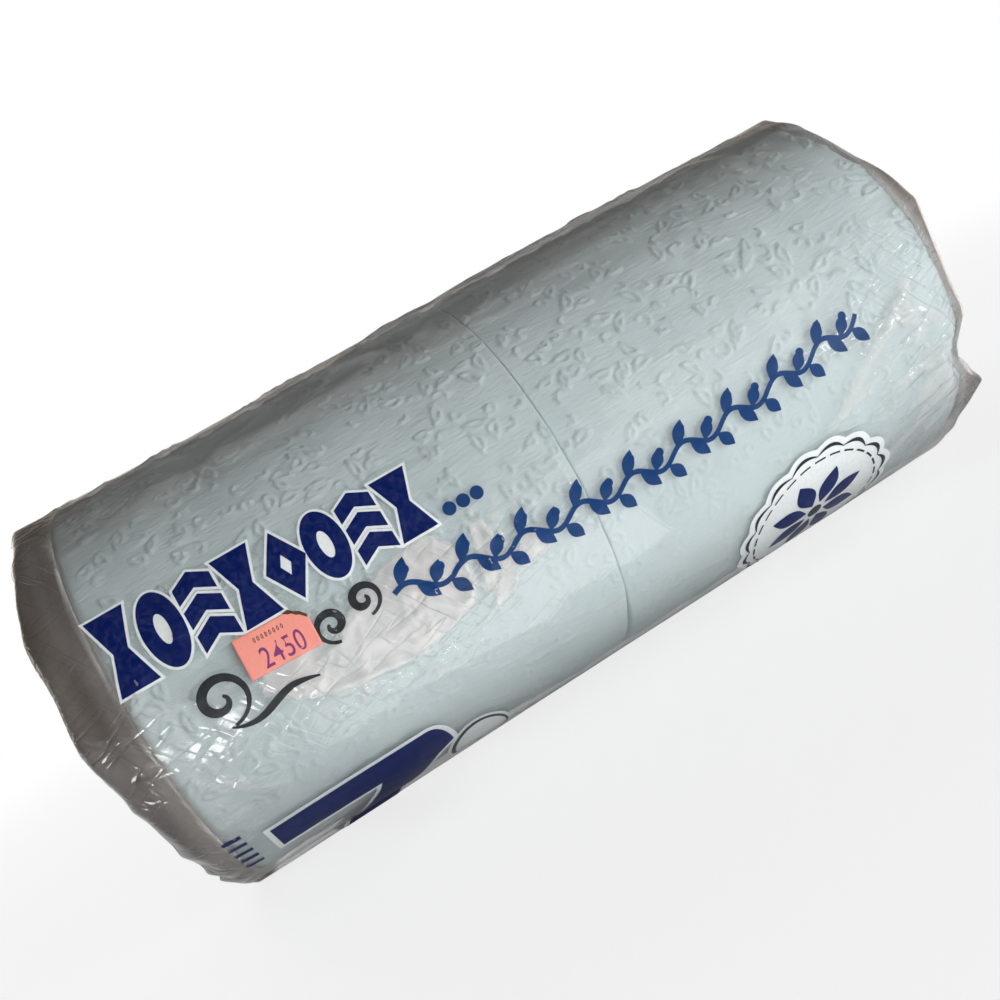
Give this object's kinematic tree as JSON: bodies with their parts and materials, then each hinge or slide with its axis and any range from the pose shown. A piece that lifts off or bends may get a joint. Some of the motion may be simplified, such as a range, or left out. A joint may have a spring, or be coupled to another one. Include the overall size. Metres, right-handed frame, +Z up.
{
  "type": "toilet paper roll pack",
  "caption": "Clear film pack of bathroom tissue, two columns of two rolls end to end, lying on its wide panel, with a price label on one narrow side.",
  "frame": {"origin": "under the middle of the pack, on the surface that its wide front panel lies on", "axes": "+X runs along the rolls, away from the price label's end; +Y runs across the two columns, away from the narrow side that carries the label; +Z is up, out of the plain back panel"},
  "size_m": [0.2454, 0.2286, 0.1155],
  "materials": {
    "tissue": "matte",
    "core_card": "matte",
    "clear_film": "gloss",
    "label_paper": "matte"
  },
  "bodies": {
    "root": {"film_wrap": "clear_film", "paper_roll_front_left": "tissue", "paper_roll_front_right": "tissue", "paper_roll_rear_left": "tissue", "paper_roll_rear_right": "tissue", "core_tube_front_left": "core_card", "core_tube_front_right": "core_card", "core_tube_rear_left": "core_card", "core_tube_rear_right": "core_card", "price_label": "label_paper"}
  },
  "joints": []
}
